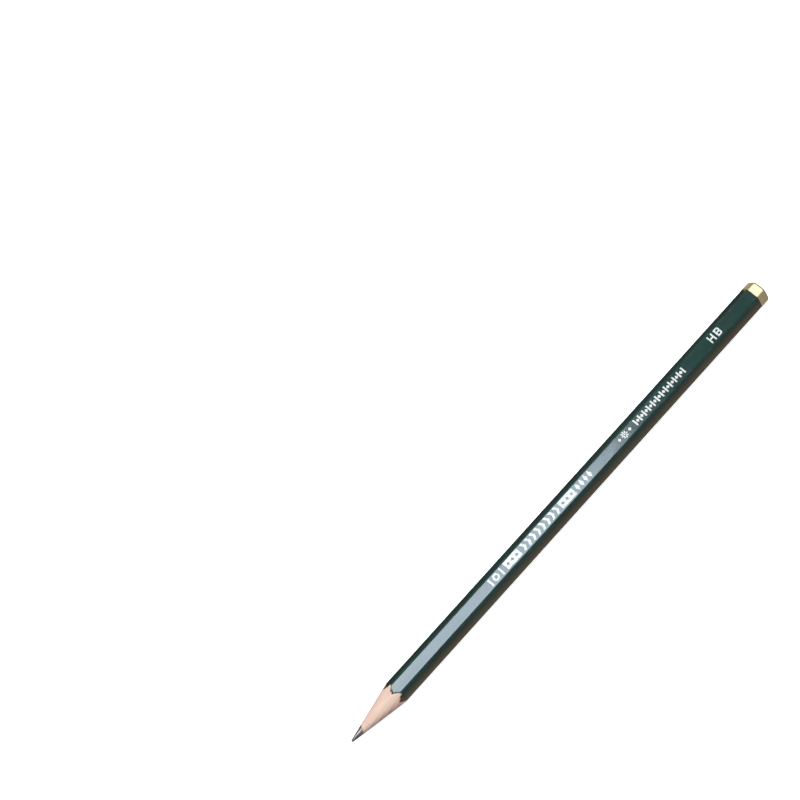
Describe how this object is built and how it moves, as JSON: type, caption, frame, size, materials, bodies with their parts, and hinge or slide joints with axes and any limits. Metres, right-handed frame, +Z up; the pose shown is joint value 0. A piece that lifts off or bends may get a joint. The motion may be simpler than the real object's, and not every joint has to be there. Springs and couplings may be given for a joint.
{
  "type": "graphite pencil",
  "caption": "Sharpened hexagonal wood-cased graphite pencil with a dark green lacquer coat and a gold-dipped rear end.",
  "frame": {"origin": "on the surface that the pencil lies on, under the middle of its length and width", "axes": "+X along the pencil from its point to its gold rear end, +Z up, square to the facet that it lies on and to the stamped facet on top, +Y to the left when looking along +X"},
  "size_m": [0.175, 0.0076, 0.0068],
  "materials": {
    "cedar": "matte",
    "graphite": "satin",
    "glue": "satin",
    "green_lacquer": "gloss",
    "gold_lacquer": "gloss",
    "stamping_foil": "gloss"
  },
  "bodies": {
    "root": {"upper_slat": "cedar", "lower_slat": "cedar", "graphite_lead": "graphite", "glue_film": "glue", "lacquer_coat": "green_lacquer", "end_cap": "gold_lacquer", "foil_ornament": "stamping_foil", "foil_grade_mark": "stamping_foil"}
  },
  "joints": []
}
